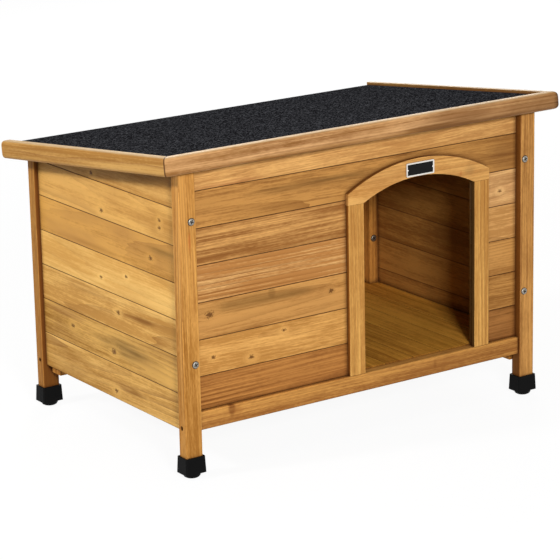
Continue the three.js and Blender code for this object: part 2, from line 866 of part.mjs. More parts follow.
add(walls, 'stay_bracket', stayBracket(), zincSteel);
add(walls, 'stay_arm', stayBar(), zincSteel);
add(roof, 'stay_track', stayTrack(), zincSteel);

export default dogHouse;
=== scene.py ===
import math

import bmesh
import bpy
from mathutils import Matrix, Vector


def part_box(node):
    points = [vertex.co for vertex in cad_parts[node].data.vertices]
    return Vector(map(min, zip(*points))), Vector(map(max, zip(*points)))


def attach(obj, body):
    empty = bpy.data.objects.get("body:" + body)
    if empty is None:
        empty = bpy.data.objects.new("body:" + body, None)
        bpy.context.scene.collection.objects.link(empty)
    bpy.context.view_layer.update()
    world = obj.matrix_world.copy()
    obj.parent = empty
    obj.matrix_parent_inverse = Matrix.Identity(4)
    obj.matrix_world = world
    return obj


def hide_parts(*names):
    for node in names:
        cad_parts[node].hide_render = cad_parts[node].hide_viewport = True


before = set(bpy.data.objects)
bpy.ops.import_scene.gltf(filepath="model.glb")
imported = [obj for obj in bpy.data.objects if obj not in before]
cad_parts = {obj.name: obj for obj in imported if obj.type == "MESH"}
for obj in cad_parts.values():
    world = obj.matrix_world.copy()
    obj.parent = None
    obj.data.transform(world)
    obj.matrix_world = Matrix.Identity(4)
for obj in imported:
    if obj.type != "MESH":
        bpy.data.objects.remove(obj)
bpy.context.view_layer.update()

# Camera. It stands where the photograph was taken from: above the roof, to the front left of
# the house, with a long lens and the slight roll that the picture has.
camera_place = Vector((-2.5770, -3.7762, 1.5339))
camera_azimuth = math.radians(-34.243)
camera_fall = math.radians(15.899)
camera_roll = math.radians(-1.202)
lens = bpy.data.cameras.new("camera")
lens.lens = 164.23
lens.sensor_width = 36.0
lens.clip_end = 50.0
camera = bpy.data.objects.new("camera", lens)
turn = Matrix.Rotation(camera_azimuth, 4, "Z")
turn @= Matrix.Rotation(math.pi / 2 - camera_fall, 4, "X")
turn @= Matrix.Rotation(camera_roll, 4, "Z")
camera.matrix_world = Matrix.Translation(camera_place) @ turn
bpy.context.scene.collection.objects.link(camera)
bpy.context.scene.camera = camera
bpy.context.scene.view_settings.view_transform = "Standard"


# Stage. A white studio floor that keeps a soft shadow under the house, and a white surround
# that lights the house faintly and evenly from all sides.
def linear(code):
    """An sRGB hex colour as the linear colour, with its alpha, that a shader takes."""
    parts = [int(code[i:i + 2], 16) / 255 for i in (1, 3, 5)]
    return [p / 12.92 if p <= 0.04045 else ((p + 0.055) / 1.055) ** 2.4 for p in parts] + [1.0]


def add(tree, kind, inputs=None, **settings):
    """Adds a node, sets it, and links or fills its inputs."""
    made = tree.nodes.new(kind)
    for name, value in settings.items():
        setattr(made, name, value)
    for socket, value in (inputs or {}).items():
        if isinstance(value, bpy.types.NodeSocket):
            tree.links.new(value, made.inputs[socket])
        else:
            made.inputs[socket].default_value = value
    return made


def new_material(name):
    """An empty node material and its tree."""
    made = bpy.data.materials.new(name)
    made.use_nodes = True
    made.node_tree.nodes.clear()
    return made, made.node_tree


def link_piece(name, shape, *materials):
    """Makes an object of a finished bmesh, at the origin, and frees the bmesh."""
    mesh = bpy.data.meshes.new(name)
    shape.to_mesh(mesh)
    shape.free()
    for material in materials:
        mesh.materials.append(material)
    piece = bpy.data.objects.new(name, mesh)
    bpy.context.scene.collection.objects.link(piece)
    return piece


def seen_directly(tree):
    """1 for what the camera sees, also in gloss or through glass, and 0 for light that bounces."""
    path = add(tree, "ShaderNodeLightPath")
    seen = add(tree, "ShaderNodeMath", {0: path.outputs["Is Camera Ray"],
                                        1: path.outputs["Is Glossy Ray"]}, operation="MAXIMUM")
    seen = add(tree, "ShaderNodeMath", {0: seen.outputs[0],
                                        1: path.outputs["Is Transmission Ray"]},
               operation="MAXIMUM")
    return seen.outputs[0]


floor_reach = 30.0
floor_glow = 0.93  # how much of the white that is seen doesn't depend on the lamps
floor_bounce = "#B4B4B4"  # darker for bounced light, so that the shade under the eaves stays deep
studio_white = "#FFFFFF"
sky_level = 0.13  # light from all round, as in a white tent
floor_material, tree = new_material("studio_floor_white")
seen = seen_directly(tree)
paint = add(tree, "ShaderNodeMix", {"Factor": seen, "A": linear(floor_bounce),
                                    "B": linear(studio_white)}, data_type="RGBA")
lit = add(tree, "ShaderNodeBsdfDiffuse", {"Color": paint.outputs["Result"]})
glow = add(tree, "ShaderNodeEmission", {"Color": linear(studio_white), "Strength": 1.0})
share = add(tree, "ShaderNodeMath", {0: seen, 1: floor_glow}, operation="MULTIPLY")
mixed = add(tree, "ShaderNodeMixShader", {0: share.outputs[0], 1: lit.outputs[0],
                                          2: glow.outputs[0]})
add(tree, "ShaderNodeOutputMaterial", {"Surface": mixed.outputs[0]})
shape = bmesh.new()
bmesh.ops.create_grid(shape, x_segments=1, y_segments=1, size=floor_reach)
link_piece("stage_floor", shape, floor_material)

world = bpy.data.worlds.new("studio")
bpy.context.scene.world = world
world.use_nodes = True
tree = world.node_tree
tree.nodes.clear()
strength = add(tree, "ShaderNodeMapRange", {"Value": seen_directly(tree), "To Min": sky_level,
                                            "To Max": 1.0})
backdrop = add(tree, "ShaderNodeBackground", {"Color": linear(studio_white),
                                              "Strength": strength.outputs[0]})
add(tree, "ShaderNodeOutputWorld", {"Surface": backdrop.outputs[0]})

# Lamps: a key in front, one on the left that leaves a narrow shadow under the eave, a weak one
# overhead, and one behind for the rear and right walls.
house_middle = Vector((0, 0, 0.3))
for name, place, size, power in (
    ("key_lamp", (-1.5, -3.9, 1.9), 0.7, 152),
    ("left_lamp", (-3.4, 0.5, 2.5), 0.4, 87),
    ("top_lamp", (0.0, -0.3, 3.4), 2.2, 22),
    ("back_lamp", (2.6, 3.6, 2.2), 1.6, 105),
):
    light = bpy.data.lights.new(name, "AREA")
    light.size = size
    light.energy = power
    lamp = bpy.data.objects.new(name, light)
    toward = (house_middle - Vector(place)).to_track_quat("-Z", "Y")
    lamp.matrix_world = Matrix.Translation(place) @ toward.to_matrix().to_4x4()
    bpy.context.scene.collection.objects.link(lamp)


# Corner posts. Planed fir, rounded along its edges, with the grain upright. A thin honey glaze
# is wiped on, so growth rings, knots and pores show through it; painted shade darkens corners.
knot_brown = "#5A320F"
# The pale colour of the painted highlight on faces that look up
top_highlight_pale = "#D2B88A"
seam_brown = "#45230A"
seam_edges = (0.0006, 0.0016)  # fully dark up to the first, and faded out at the second
joint_brown = "#4C290D"
joint_edges = (0.0003, 0.0014)
# The colour of the painted shade in corners, and how far it reaches
corner_shade_brown = "#4A2408"
corner_shade_width = 0.012  # how far the painted shade in a corner reaches


def stretch(grain, along, across):
    """Three scales: one along the grain and the other for both ways across it."""
    scales = [across] * 3
    scales["XYZ".index(grain)] = along
    return scales


def knot_fields(tree, place, grain, knots):
    """The push that bends the grain round knots, their dark eyes and the pale wood round them."""
    rough = add(tree, "ShaderNodeTexNoise", {"Vector": place, "Scale": 330.0, "Detail": 2.0})
    rough = add(tree, "ShaderNodeMapRange", {"Value": rough.outputs["Fac"], "From Min": 0.3,
                                             "From Max": 0.7, "To Max": 1.1})
    fields = None
    for centre, radius in knots:
        away = add(tree, "ShaderNodeVectorMath", {0: place, 1: centre},
                   operation="SUBTRACT").outputs[0]
        # The grain bends over 3 radii to each side of the knot and 6 along the board
        swell = add(tree, "ShaderNodeVectorMath", {
            0: away, 1: stretch(grain, 1 / (6 * radius), 1 / (3 * radius))},
            operation="MULTIPLY")
        distance = add(tree, "ShaderNodeVectorMath", {0: swell.outputs[0]}, operation="LENGTH")
        reach = add(tree, "ShaderNodeMapRange", {
            "Value": distance.outputs["Value"], "To Min": -1.1 * radius, "To Max": 0.0},
            interpolation_type="SMOOTHERSTEP")
        side = add(tree, "ShaderNodeVectorMath", {0: away, 1: stretch(grain, 0.0, 1.0)},
                   operation="MULTIPLY")
        side = add(tree, "ShaderNodeVectorMath", {0: side.outputs[0]}, operation="NORMALIZE")
        bent = add(tree, "ShaderNodeVectorMath", {0: side.outputs[0],
                                                  "Scale": reach.outputs[0]},
                   operation="SCALE").outputs[0]
        # The knot and its pale wood are 1.4 times as long along the grain as across it
        radii = add(tree, "ShaderNodeVectorMath", {
            0: away, 1: stretch(grain, 0.7 / radius, 1 / radius)}, operation="MULTIPLY")
        radii = add(tree, "ShaderNodeVectorMath", {0: radii.outputs[0]}, operation="LENGTH")
        ragged = add(tree, "ShaderNodeMath", {0: radii.outputs["Value"],
                                              1: rough.outputs[0]}).outputs[0]
        eye = add(tree, "ShaderNodeMapRange", {
            "Value": ragged, "From Min": 1.0, "From Max": 1.9, "To Min": 0.85, "To Max": 0.0},
            interpolation_type="SMOOTHSTEP").outputs[0]
        halo = add(tree, "ShaderNodeMapRange", {
            "Value": ragged, "From Min": 1.9, "From Max": 4.8, "To Min": 0.45, "To Max": 0.0},
            interpolation_type="SMOOTHSTEP").outputs[0]
        if fields is None:
            fields = [bent, eye, halo]
        else:
            fields = [add(tree, "ShaderNodeVectorMath", {0: fields[0], 1: bent}).outputs[0]] + [
                add(tree, "ShaderNodeMath", {0: old, 1: new}, operation="MAXIMUM").outputs[0]
                for old, new in ((fields[1], eye), (fields[2], halo))]
    return fields


def blend_in(tree, under, share, code):
    """A colour laid over the one that is there, as densely as share says."""
    laid = add(tree, "ShaderNodeMix", {"Factor": share, "A": under, "B": linear(code)},
               data_type="RGBA")
    return laid.outputs["Result"]


def stained_fir(name, grain, pale, deep, heart, seed, *, late="#7A4818", ring_width=0.005,
                rings=0.45, streaks=0.6, bands=0.7, hairs=0.35, lean=(0.0, 0.0, 0.0),
                blush="#A5733A", blush_share=0.3, knots=(), marks=(), boards=None, side_stain_and_shade=(),
                seams=(), top_highlight=0.0, wander=0.010, gloss=0.58, shade_reach=corner_shade_width):
    """Planed fir under a honey glaze. heart is a point on the middle of the log it was sawn
    from, and lean turns the log, so rings run as flames or as stripes. rings, streaks, bands,
    hairs and blush_share are the strengths of rings, thin and broad streaks, fine lines and
    patches. knots are (centre, radius), marks are patches of stain and of painted shade as
    (centre, half length, half width, colour, strength), boards says where a wall's joints are,
    side_stain_and_shade lists the sides darkened by the way they face, as (way they face,
    colour): painted shade, and end grain that drank more stain, seams are flat joints as (point,
    way across), top_highlight is how pale a painted highlight makes the faces that look up,
    wander is how far the grain strays to the side, gloss is the shader's roughness and
    shade_reach is how far painted shade reaches into corners and from the next piece."""
    material, tree = new_material(name)
    source = add(tree, "ShaderNodeTexCoord")
    place = source.outputs["Object"]
    bent = place
    if knots:
        push, eye, halo = knot_fields(tree, place, grain, knots)
        bent = add(tree, "ShaderNodeVectorMath", {0: place, 1: push}).outputs[0]
    if boards:
        axis, first, pitch = boards
        at = add(tree, "ShaderNodeSeparateXYZ", {0: place}).outputs[axis]
        at = add(tree, "ShaderNodeMath", {0: at, 1: first}, operation="SUBTRACT").outputs[0]
        number = add(tree, "ShaderNodeMath", {0: at, 1: pitch}, operation="DIVIDE")
        number = add(tree, "ShaderNodeMath", {0: number.outputs[0]}, operation="FLOOR")
        # Each board is from another place of the log, 3.1 m further on
        shift = add(tree, "ShaderNodeVectorMath", {0: stretch(grain, 3.1, 0.0),
                                                   "Scale": number.outputs[0]},
                    operation="SCALE")
        bent = add(tree, "ShaderNodeVectorMath", {0: bent, 1: shift.outputs[0]}).outputs[0]
    # The grain wanders sideways by some millimetres in each few hundred
    slow = add(tree, "ShaderNodeMapping", {"Vector": bent, "Location": (seed, 0, -seed),
                                           "Scale": stretch(grain, 2.4, 9.0)})
    slow = add(tree, "ShaderNodeTexNoise", {"Vector": slow.outputs[0], "Scale": 1.0,
                                            "Detail": 1.0})
    slow = add(tree, "ShaderNodeVectorMath", {0: slow.outputs["Color"], 1: (0.5, 0.5, 0.5)},
               operation="SUBTRACT")
    slow = add(tree, "ShaderNodeVectorMath", {0: slow.outputs[0],
                                              1: stretch(grain, 0.0, wander)},
               operation="MULTIPLY")
    bent = add(tree, "ShaderNodeVectorMath", {0: bent, 1: slow.outputs[0]}).outputs[0]
    log = add(tree, "ShaderNodeMapping", {"Vector": bent, "Location": heart, "Rotation": lean},
              vector_type="TEXTURE").outputs[0]

    def pattern(along, across, detail, low=0.32, high=0.68):
        """Noise with so many features per metre along and across the grain, as 0 to 1."""
        drawn = add(tree, "ShaderNodeMapping", {
            "Vector": log, "Location": (3.1 * seed, seed, 2.3 * seed),
            "Scale": stretch(grain, along, across)})
        noise = add(tree, "ShaderNodeTexNoise", {"Vector": drawn.outputs[0], "Scale": 1.0,
                                                 "Detail": detail, "Roughness": 0.6})
        return add(tree, "ShaderNodeMapRange", {"Value": noise.outputs["Fac"], "From Min": low,
                                                "From Max": high}).outputs[0]

    broad = pattern(1.4, 34.0, 1.0)
    thin = pattern(1.8, 120.0, 3.0)
    hair = pattern(5.0, 360.0, 2.0, 0.36, 0.64)
    cloud = pattern(22.0, 60.0, 3.0, 0.3, 0.7)
    pores = pattern(90.0, 420.0, 1.0, 0.35, 0.65)
    here = pattern(2.5, 16.0, 1.0)
    # Each growth ring darkens slowly to its late wood and ends in a sharp line
    drawn = add(tree, "ShaderNodeMapping", {"Vector": log, "Scale": stretch(grain, 0.07, 1.0)})
    ring = add(tree, "ShaderNodeTexWave", {
        "Vector": drawn.outputs[0], "Scale": 0.314 / ring_width, "Distortion": 2.6,
        "Detail": 2.0, "Detail Scale": 1.1, "Phase Offset": seed},
        wave_type="RINGS", rings_direction=grain, wave_profile="SAW")
    ring = add(tree, "ShaderNodeMath", {0: ring.outputs["Fac"], 1: 2.6}, operation="POWER")
    ring = add(tree, "ShaderNodeMath", {0: ring.outputs[0], 1: here}, operation="MULTIPLY")
    ring = add(tree, "ShaderNodeMath", {0: ring.outputs[0], 1: rings * 1.4},
               operation="MULTIPLY", use_clamp=True).outputs[0]

    clouding = 0.3
    pitting = 0.25
    total = bands + streaks + hairs + clouding + pitting
    shade = None
    for field, weight in ((broad, bands), (thin, streaks), (hair, hairs), (cloud, clouding),
                          (pores, pitting)):
        part = add(tree, "ShaderNodeMath", {0: field, 1: weight / total}, operation="MULTIPLY")
        shade = part.outputs[0] if shade is None else add(
            tree, "ShaderNodeMath", {0: shade, 1: part.outputs[0]}).outputs[0]
    if boards:
        tone = add(tree, "ShaderNodeTexWhiteNoise", {"W": number.outputs[0]},
                   noise_dimensions="1D")
        tone = add(tree, "ShaderNodeMapRange", {"Value": tone.outputs["Value"],
                                                "To Min": -0.12, "To Max": 0.12})
        shade = add(tree, "ShaderNodeMath", {0: shade, 1: tone.outputs[0]}).outputs[0]
    shade = add(tree, "ShaderNodeMapRange", {"Value": shade, "From Min": 0.31,
                                             "From Max": 0.69}).outputs[0]
    stain = blend_in(tree, linear(pale), shade, deep)
    # Patches where the board took the stain differently
    drawn = add(tree, "ShaderNodeMapping", {"Vector": bent, "Location": (-seed, seed, 5 * seed),
                                            "Scale": stretch(grain, 4.0, 15.0)})
    patch = add(tree, "ShaderNodeTexNoise", {"Vector": drawn.outputs[0], "Scale": 1.0,
                                             "Detail": 3.0})
    ragged = add(tree, "ShaderNodeMath", {0: patch.outputs["Fac"], 1: 0.5},
                 operation="SUBTRACT").outputs[0]
    patch = add(tree, "ShaderNodeMapRange", {"Value": patch.outputs["Fac"], "From Min": 0.45,
                                             "From Max": 0.65, "To Max": blush_share})
    stain = blend_in(tree, stain, patch.outputs[0], blush)
    for centre, half_length, half_width, code, strength in marks:
        away = add(tree, "ShaderNodeVectorMath", {0: place, 1: centre}, operation="SUBTRACT")
        away = add(tree, "ShaderNodeVectorMath", {
            0: away.outputs[0], 1: stretch(grain, 1 / half_length, 1 / half_width)},
            operation="MULTIPLY")
        away = add(tree, "ShaderNodeVectorMath", {0: away.outputs[0]}, operation="LENGTH")
        away = add(tree, "ShaderNodeMath", {0: ragged, 1: 3.0, 2: away.outputs["Value"]},
                   operation="MULTIPLY_ADD")
        away = add(tree, "ShaderNodeMapRange", {
            "Value": away.outputs[0], "From Min": 0.2, "From Max": 1.2, "To Min": strength,
            "To Max": 0.0}, interpolation_type="SMOOTHSTEP")
        # It lies along the grain, in streaks
        share = add(tree, "ShaderNodeMapRange", {"Value": thin, "To Min": 0.45, "To Max": 1.3})
        share = add(tree, "ShaderNodeMath", {0: away.outputs[0], 1: share.outputs[0]},
                    operation="MULTIPLY", use_clamp=True)
        stain = blend_in(tree, stain, share.outputs[0], code)
    stain = blend_in(tree, stain, ring, late)
    if knots:
        stain = blend_in(tree, stain, halo, pale)
        stain = blend_in(tree, stain, eye, knot_brown)
    # Painted highlight: faces that look up are paler
    if top_highlight:
        up = add(tree, "ShaderNodeVectorMath", {0: source.outputs["Normal"], 1: (0, 0, 1)},
                 operation="DOT_PRODUCT")
        up = add(tree, "ShaderNodeMapRange", {"Value": up.outputs["Value"], "From Min": 0.75,
                                              "From Max": 0.97, "To Max": top_highlight})
        stain = blend_in(tree, stain, up.outputs[0], top_highlight_pale)
    # Sides darkened by the way they face: painted shade, and end grain that drank more stain
    for direction, code in side_stain_and_shade:
        turned = add(tree, "ShaderNodeVectorMath", {0: source.outputs["Normal"], 1: direction},
                     operation="DOT_PRODUCT")
        turned = add(tree, "ShaderNodeMapRange", {
            "Value": turned.outputs["Value"], "From Min": 0.6, "From Max": 0.85,
            "To Max": 0.88})
        stain = blend_in(tree, stain, turned.outputs[0], code)
    for point, across in seams:
        gap = add(tree, "ShaderNodeVectorMath", {0: place, 1: point}, operation="SUBTRACT")
        gap = add(tree, "ShaderNodeVectorMath", {0: gap.outputs[0], 1: across},
                  operation="DOT_PRODUCT")
        gap = add(tree, "ShaderNodeMath", {0: gap.outputs["Value"]}, operation="ABSOLUTE")
        gap = add(tree, "ShaderNodeMapRange", {
            "Value": gap.outputs[0], "From Min": seam_edges[0], "From Max": seam_edges[1],
            "To Min": 0.85, "To Max": 0.0})
        stain = blend_in(tree, stain, gap.outputs[0], seam_brown)
    if boards:
        # The stain ran into the joints, and dried dark close to them
        joint = add(tree, "ShaderNodeMath", {0: at, 1: pitch / 2}, operation="PINGPONG")
        joint = add(tree, "ShaderNodeMapRange", {
            "Value": joint.outputs[0], "From Min": joint_edges[0], "From Max": joint_edges[1],
            "To Min": 0.8, "To Max": 0.0})
        stain = blend_in(tree, stain, joint.outputs[0], joint_brown)
    # Painted shade: darker in corners and close to the next piece, by ambient occlusion
    corner = add(tree, "ShaderNodeAmbientOcclusion", {"Distance": shade_reach}, samples=8)
    corner = add(tree, "ShaderNodeMapRange", {"Value": corner.outputs["AO"], "From Min": 0.40,
                                              "From Max": 0.92, "To Min": 0.85, "To Max": 0.0})
    stain = blend_in(tree, stain, corner.outputs[0], corner_shade_brown)
    relief = add(tree, "ShaderNodeMath", {0: hair, 1: pores})
    bump = add(tree, "ShaderNodeBump", {"Height": relief.outputs[0], "Strength": 0.3,
                                        "Distance": 0.0002})
    dull = add(tree, "ShaderNodeMapRange", {"Value": shade, "To Min": gloss - 0.06,
                                            "To Max": gloss + 0.1})
    wood = add(tree, "ShaderNodeBsdfPrincipled", {
        "Base Color": stain, "Roughness": dull.outputs[0], "Normal": bump.outputs[0],
        "Specular IOR Level": 0.16})
    add(tree, "ShaderNodeOutputMaterial", {"Surface": wood.outputs[0]})
    return material


def finish_node(node, material):
    """Gives a piece that keeps its modelled shape its finish."""
    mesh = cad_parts[node].data
    mesh.materials.clear()
    mesh.materials.append(material)


def middle(node):
    """The middle of a piece's box."""
    low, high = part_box(node)
    return (low + high) / 2


def dress(node, material, body="house", sharp=40):
    """Replaces a modelled piece by a copy whose rounded edges are shaded smooth."""
    shape = bmesh.new()
    shape.from_mesh(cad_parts[node].data)
    bmesh.ops.remove_doubles(shape, verts=shape.verts, dist=2e-5)
    bmesh.ops.dissolve_limit(shape, angle_limit=math.radians(0.5), verts=shape.verts,
                             edges=shape.edges)
    for face in shape.faces:
        face.smooth = True
    piece = link_piece(f"{node}_dressed", shape, material)
    piece.data.set_sharp_from_angle(angle=math.radians(sharp))
    piece.modifiers.new("flat faces stay flat", "WEIGHTED_NORMAL").keep_sharp = True
    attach(piece, body)
    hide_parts(node)


post_finishes = {
    # pale, deep, where the heart of the log lies from the post's middle, seed
    "post_front_left": ("#DCA052", "#A26A26", (0.050, 0.030), 11.3),
    "post_front_right": ("#D79C54", "#A06C34", (-0.040, 0.050), 24.1),
    "post_rear_left": ("#C08A40", "#8F5A20", (0.030, -0.050), 37.9),
    "post_rear_right": ("#C6924A", "#99652A", (0.050, 0.040), 41.2),
}
post_side_shade = "#6E3E0C"  # painted shade on the two sides that the boards meet
for node, (pale, deep, (across, behind), seed) in post_finishes.items():
    inward = -1 if node.endswith("right") else 1
    towards = -1 if "rear" in node else 1
    resin = ()
    if node == "post_front_left":
        face = Vector((middle(node).x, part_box(node)[0].y, 0))
        resin = ((face + Vector((0.002, 0, 0.425)), 0.024, 0.0045, "#C8682E", 0.6),
                 (face + Vector((0.008, 0, 0.350)), 0.060, 0.0030, "#9A5E24", 0.5))
    finish = stained_fir(
        f"stained_fir_{node}", "Z", pale, deep, middle(node) + Vector((across, behind, 0)), seed,
        ring_width=0.0035, rings=0.55, lean=(0.012, -0.008, 0), blush="#B47A38",
        late="#6E3E12", marks=resin,
        side_stain_and_shade=(((inward, 0, 0), post_side_shade), ((0, towards, 0), post_side_shade)))
    dress(node, finish)

# Left wall. Seven tongue-and-groove fir boards, planed and stained a yellow honey colour, each
# from its own plank, so that its tone, rings and knots differ from the next one's.
side_joints = (2, 0.082, 0.0656)  # upwards, the first joint, and from joint to joint
rows_in_light = 4  # the rows above them lie in the shade of the eave
eave_shade_width = 0.055  # how far painted shade darkens them towards the eave
left_finishes = (
    # pale, deep, heart as (behind the face, up), seed, rings, blush, knots as (y, z, radius),
    # marks as (y, z, half length, half width, colour, strength)
    ("#E8B664", "#B4823C", (0.035, 0.020), 3.1, 0.45, "#9C6E30", ((-0.020, 0.097, 0.004),),
     ((-0.060, 0.111, 0.045, 0.007, "#8A5A20", 0.7),
      (0.150, 0.130, 0.070, 0.012, "#9A6A26", 0.6))),
    ("#DBA957", "#9E6E2B", (0.080, -0.040), 7.7, 0.40, "#8A5E26",
     ((0.128, 0.184, 0.004), (-0.016, 0.170, 0.005)),
     ((-0.070, 0.183, 0.100, 0.020, "#86632A", 0.8),
      (0.160, 0.204, 0.070, 0.010, "#8E5C28", 0.7))),
    ("#F4C26E", "#C28E46", (0.045, 0.010), 12.4, 0.35, "#A87636", ((-0.036, 0.247, 0.004),),
     ((-0.122, 0.252, 0.060, 0.008, "#85561F", 0.75),
      (0.080, 0.268, 0.090, 0.008, "#9E6A2A", 0.6))),
    ("#F6C672", "#DAA456", (0.030, -0.015), 19.6, 0.15, "#C99244", ((0.019, 0.300, 0.003),
                                                                   (-0.068, 0.320, 0.003)), ()),
    ("#D8A04E", "#A87430", (0.060, 0.045), 23.8, 0.25, "#9C6A34", ((-0.152, 0.372, 0.004),),
     ((-0.190, 0.388, 0.070, 0.014, "#8A6428", 0.75),
      (0.080, 0.352, 0.120, 0.010, "#A4702E", 0.7))),
    ("#E2AD5C", "#C08B44", (0.040, -0.025), 29.5, 0.22, "#AE7A38", ((0.009, 0.425, 0.004),
                                                                   (-0.185, 0.446, 0.003),
                                                                   (-0.185, 0.432, 0.003)), ()),
    ("#EEBA68", "#BC8742", (0.070, 0.030), 31.9, 0.25, "#B07E3C", ((0.040, 0.487, 0.004),), ()),
)
for row, values in enumerate(left_finishes, start=1):
    pale, deep, log, seed, rings, blush, spots, stains_and_shade = values
    node = f"left_board_{row}"
    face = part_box(node)[0].x
    heart = Vector((face + log[0], 0, middle(node).z + log[1]))
    finish_node(node, stained_fir(
        f"stained_fir_{node}", "Y", pale, deep, heart, seed, rings=rings, ring_width=0.008,
        streaks=0.7, bands=0.9, hairs=0.4, lean=(0.006 * (-1) ** row, 0, 0.025), blush=blush,
        blush_share=0.45, boards=side_joints, wander=0.014,
        # The rows under the eave get painted shade that reaches further down from it
        shade_reach=eave_shade_width if row > rows_in_light else corner_shade_width,
        knots=[(Vector((face, y, z)), radius) for y, z, radius in spots],
        marks=[(Vector((face, y, z)), *rest) for y, z, *rest in stains_and_shade]))

# Right and rear walls. The same boards glued up into panels, stained with the rest; the inner
# side of the right wall is what shows through the door.
heart_depth = 0.05  # the heart of the log lies this far in from the outer face
front_joints = (2, 0.1756, 0.0656)  # as side_joints, for the rear and front walls
heart = Vector((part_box("right_wall")[1].x - heart_depth, 0, 0.3))
finish_node("right_wall", stained_fir(
    "stained_fir_right_wall", "Y", "#B67F3C", "#8A5823", heart, 52.6, rings=0.25,
    streaks=0.35, lean=(0.01, 0, 0.05), boards=side_joints))
heart = Vector((0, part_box("rear_wall")[1].y - heart_depth, 0.28))
finish_node("rear_wall", stained_fir(
    "stained_fir_rear_wall", "X", "#C68F46", "#8E5C26", heart, 57.3, rings=0.4,
    lean=(0, 0.01, 0.04), boards=front_joints))

# Front wall. Seven rows of the same board, redder than the side wall and with stronger rings.
# The door cuts five rows in two, and the offcut to its right is from another plank.
end_grain_and_shade_brown = "#34200A"  # end grain that drank the stain, and painted shade on the right jamb's inner side
straight_beyond = 0.1  # boards sawn further than this from the heart have straighter grain
front_finishes = (
    # node, pale, deep, heart as (behind the face, up), seed, rings, ring width, streaks, blush,
    # knots as (x, z, radius), marks as (x, z, half length, half width, colour, strength)
    ("1_left", "#C08240", "#7A4418", (0.150, -0.120), 4.4, 0.85, 0.005, 1.0, "#8E5524", (), ()),
    ("1_right", "#A87038", "#74481C", (0.130, 0.110), 5.1, 0.50, 0.004, 0.8, "#83542A", (), ()),
    ("2_left", "#EAB062", "#BC8440", (0.040, 0.015), 9.2, 0.25, 0.008, 0.5, "#C08840",
     ((-0.317, 0.205, 0.003), (-0.238, 0.190, 0.004), (-0.169, 0.226, 0.003)), ()),
    ("2_right", "#C68E4A", "#94622C", (0.090, 0.080), 10.3, 0.50, 0.003, 0.6, "#A9733A", (), ()),
    ("3_left", "#CC9450", "#A36E34", (0.030, -0.010), 14.8, 0.25, 0.009, 0.4, "#A06E38",
     ((-0.322, 0.282, 0.006), (-0.067, 0.279, 0.004)),
     ((-0.220, 0.289, 0.120, 0.010, "#86602E", 0.6),
      (-0.193, 0.298, 0.006, 0.009, "#7A5424", 0.45))),
    ("3_right", "#CC9450", "#A06C34", (0.110, -0.060), 15.5, 0.45, 0.003, 0.6, "#B07A3C", (), ()),
    ("4_left", "#F8C680", "#B87E42", (0.160, 0.150), 20.3, 0.90, 0.006, 1.0, "#AE7238", (), ()),
    ("4_right", "#F0B872", "#BA8448", (0.016, -0.022), 21.7, 0.75, 0.006, 0.4, "#C08C4C", (), ()),
    ("5_left", "#DCA45E", "#8E5A28", (0.170, -0.140), 26.7, 0.95, 0.005, 1.0, "#AE783E", (), ()),
    ("5_right", "#F8C682", "#CC9860", (0.014, 0.010), 27.9, 0.45, 0.006, 0.5, "#C49050",
     ((0.316, 0.400, 0.003),), ()),
    ("6", "#C68E4A", "#845424", (0.025, -0.012), 33.3, 0.45, 0.009, 0.6, "#9A6C34", (),
     ((-0.090, 0.480, 0.170, 0.012, "#80592A", 0.8),
      (0.325, 0.470, 0.090, 0.050, "#845628", 0.8))),
    ("7", "#E8B26A", "#BC864A", (0.060, 0.040), 38.6, 0.25, 0.008, 0.5, "#BD8443", (),
     ((-0.280, 0.508, 0.080, 0.004, "#A8683A", 0.6),)),
)
for name, pale, deep, log, seed, rings, ring_width, streaks, blush, spots, stains_and_shade in front_finishes:
    node = f"front_board_{name}"
    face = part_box(node)[0].y
    heart = Vector((0, face + log[0], middle(node).z + log[1]))
    straight = log[0] > straight_beyond
    finish_node(node, stained_fir(
        f"stained_fir_front_{name}", "X", pale, deep, heart, seed, rings=rings,
        ring_width=ring_width, streaks=streaks, blush=blush,
        lean=(0, 0.006 * (-1) ** int(name[0]), -0.006 if straight else -0.03),
        boards=front_joints, hairs=0.6, wander=0.004 if straight else 0.012,
        side_stain_and_shade=(((-1, 0, 0), end_grain_and_shade_brown), ((1, 0, 0), end_grain_and_shade_brown)),
        knots=[(Vector((x, face, z)), radius) for x, z, radius in spots],
        marks=[(Vector((x, face, z)), *rest) for x, z, *rest in stains_and_shade]))

# Rails. Thicker fir bars between the posts: the front and rear ones carry the walls and the
# floor, and the one under the roof at the rear carries the hinges.
for node, seed in (("front_rail", 61.8), ("rear_rail", 62.9), ("rear_top_rail", 64.2)):
    face = Vector((0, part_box(node)[0].y, middle(node).z))
    stains_and_shade = ()
    if node == "front_rail":
        # A knot near the left end, the brown wood round it, and one more to the right
        stains_and_shade = ((face + Vector((-0.288, 0, 0.008)), 0.007, 0.015, "#6A3810", 0.95),
                  (face + Vector((-0.280, 0, 0.004)), 0.016, 0.012, "#A0622A", 0.5),
                  (face + Vector((0.157, 0, 0.001)), 0.006, 0.015, "#7A4618", 0.8))
    dress(node, stained_fir(
        f"stained_fir_{node}", "X", "#D69A4E", "#98602A", middle(node) + Vector((0, 0.15, 0.13)),
        seed, ring_width=0.004, rings=0.4, blush="#A06A30", lean=(0, 0.01, 0.01), marks=stains_and_shade))

# Door frame. Two upright jambs on the rail and a sawn arch across them, of lighter fir, glued
# and pinned over the cut ends of the boards.
# The sides of both jambs are painted darker as shade
for node, seed, side_stain_and_shade in (("door_jamb_left", 66.1, "#8A5216"),
                           ("door_jamb_right", 68.3, end_grain_and_shade_brown)):
    dress(node, stained_fir(
        f"stained_fir_{node}", "Z", "#EEB662", "#BC8440",
        middle(node) + Vector((0.10, 0.15, 0)), seed, ring_width=0.004, rings=0.4,
        hairs=0.5, wander=0.005, blush="#B97F3C", lean=(0.01, 0.01, 0),
        side_stain_and_shade=(((-1, 0, 0), side_stain_and_shade), ((1, 0, 0), "#6A3E12"))))
